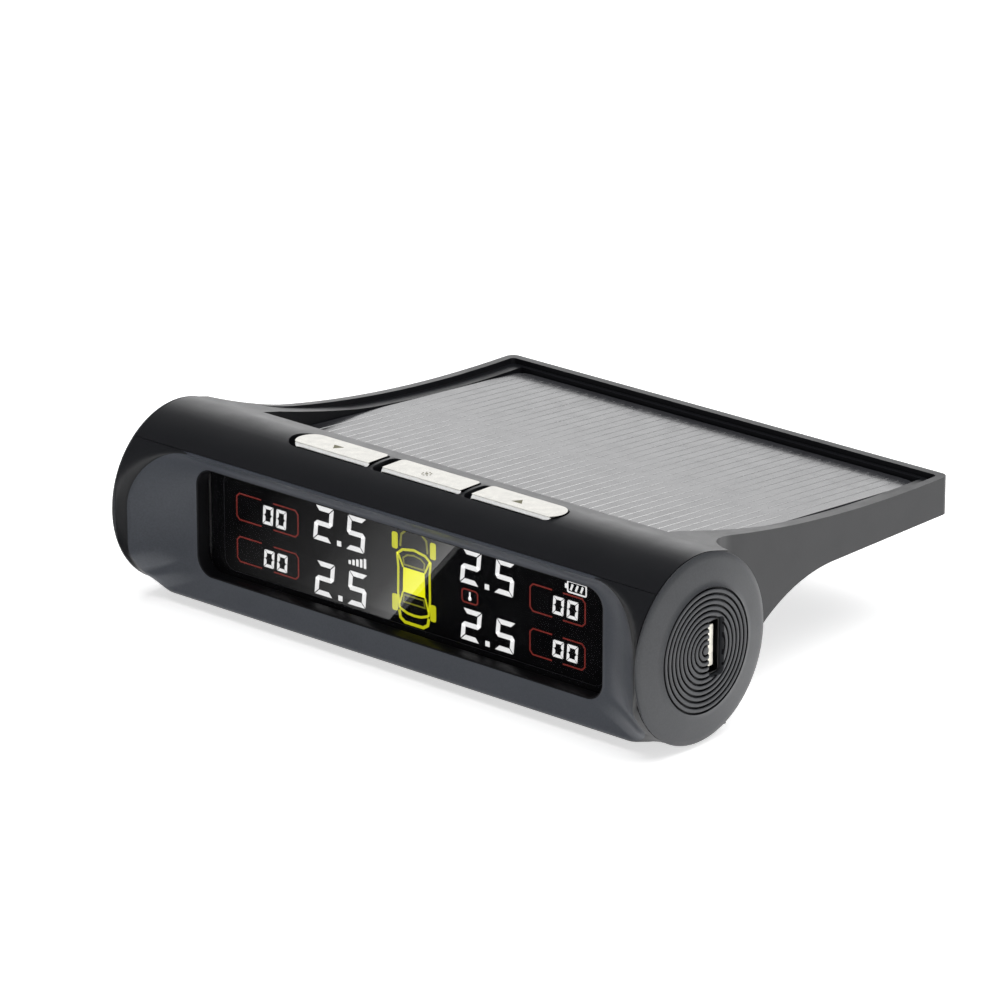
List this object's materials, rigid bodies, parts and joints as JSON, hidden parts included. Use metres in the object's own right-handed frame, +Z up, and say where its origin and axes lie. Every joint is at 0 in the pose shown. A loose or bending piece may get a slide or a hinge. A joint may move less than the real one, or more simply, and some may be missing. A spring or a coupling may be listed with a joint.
{
  "type": "tire pressure monitor",
  "caption": "Solar-charged dashboard display unit for a wireless tire pressure monitor: a barrel with a window, three keys and a USB socket, and a flat solar tray behind it.",
  "frame": {"origin": "centre of the footprint, on the surface that the pad rests on", "axes": "+Z up, -Y is the side with the display, +X is the end with the USB socket"},
  "size_m": [0.094, 0.073, 0.026],
  "materials": {
    "housing_black": "semi-gloss moulded charcoal black",
    "bezel_slate": "fine satin texture, dark slate",
    "cover_black": "fine spark-eroded texture",
    "cap_grey": "satin, mid charcoal grey",
    "pad_rubber": "matt",
    "smoked_lens": "polished, smoked",
    "display_glass": "polished",
    "light_guide": "milky white",
    "frame_white": "white",
    "zebra_rubber": "matt",
    "board_green": "solder mask over glass epoxy",
    "tin_plate": "tin plated",
    "contact_gold": "gold flash",
    "chip_black": "moulded epoxy",
    "key_chrome": "bright chrome plating",
    "plunger_cream": "moulded nylon",
    "solar_cell": "silicon cells under clear resin",
    "tape_cream": "foam adhesive tape",
    "wire_red": "PVC insulation",
    "cell_pouch": "laminated foil pouch",
    "foam_grey": "closed-cell foam",
    "plug_white": "moulded nylon",
    "copper_wire": "enamelled wire",
    "shield_tin": "tin plated",
    "buzzer_black": "moulded",
    "screw_steel": "zinc plated"
  },
  "bodies": {
    "root": {"upper_housing": "housing_black", "front_bezel": "bezel_slate", "lower_cover": "cover_black", "end_cap_right": "cap_grey", "end_cap_left": "cap_grey", "anti_slip_pad": "pad_rubber", "display_lens": "smoked_lens", "lcd_glass": "display_glass", "lcd_backlight": "light_guide", "lcd_connector": "zebra_rubber", "display_frame": "frame_white", "main_board": "board_green", "usb_shell": "tin_plate", "usb_tongue": "contact_gold", "button_board": "board_green", "board_link": "chip_black", "switch_left": "tin_plate", "switch_middle": "tin_plate", "switch_right": "tin_plate", "solar_panel": "solar_cell", "solar_tape": "tape_cream", "solar_leads": "wire_red", "battery_cell": "cell_pouch", "battery_foam": "foam_grey", "battery_plug": "plug_white", "battery_leads": "wire_red", "antenna_coil": "copper_wire", "radio_shield": "shield_tin", "controller_chip": "chip_black", "crystal_can": "tin_plate", "charge_chip": "chip_black", "buzzer": "buzzer_black", "vibration_sensor": "contact_gold", "housing_screws": "screw_steel", "board_screws": "screw_steel"},
    "key_left": {"button_left": "key_chrome", "plunger_left": "plunger_cream"},
    "key_middle": {"button_middle": "key_chrome", "plunger_middle": "plunger_cream"},
    "key_right": {"button_right": "key_chrome", "plunger_right": "plunger_cream"}
  },
  "joints": [
    {"name": "press_left", "type": "slide", "parent": "root", "child": "key_left", "axis": [0, 0, -1], "range_m": [0, 0.0003], "stiffness_N_per_m": 3000, "springref_m": -0.0002},
    {"name": "press_middle", "type": "slide", "parent": "root", "child": "key_middle", "axis": [0, 0, -1], "range_m": [0, 0.0003], "stiffness_N_per_m": 3000, "springref_m": -0.0002},
    {"name": "press_right", "type": "slide", "parent": "root", "child": "key_right", "axis": [0, 0, -1], "range_m": [0, 0.0003], "stiffness_N_per_m": 3000, "springref_m": -0.0002}
  ]
}
